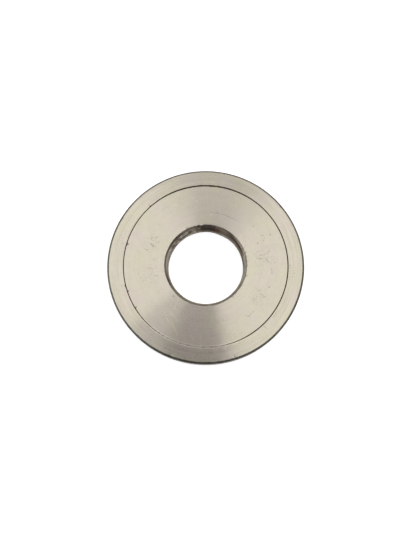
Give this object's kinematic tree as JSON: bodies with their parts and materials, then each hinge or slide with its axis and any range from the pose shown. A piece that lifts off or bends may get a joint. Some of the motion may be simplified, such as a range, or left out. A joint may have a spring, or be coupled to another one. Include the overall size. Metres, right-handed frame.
{
  "type": "flat washer",
  "caption": "Thick round flat washer: a chamfered outer ring fitted flush around a centre disc with a tapered-mouth bolt hole.",
  "frame": {"origin": "centre of the back face, where the washer rests", "axes": "+Z along the hole's axis, from the back face towards the mouth face that the picture shows; the washer is the same all round, so X and Y are free"},
  "size_m": [0.054, 0.054, 0.005],
  "materials": {
    "ring_steel": "turned bright, with fine rings of tool marks",
    "disc_steel": "fine turned and rubbed, with small scratches and dents; the hole's wall is darker and rougher"
  },
  "bodies": {
    "root": {"outer_ring": "ring_steel", "centre_disc": "disc_steel"}
  },
  "joints": []
}
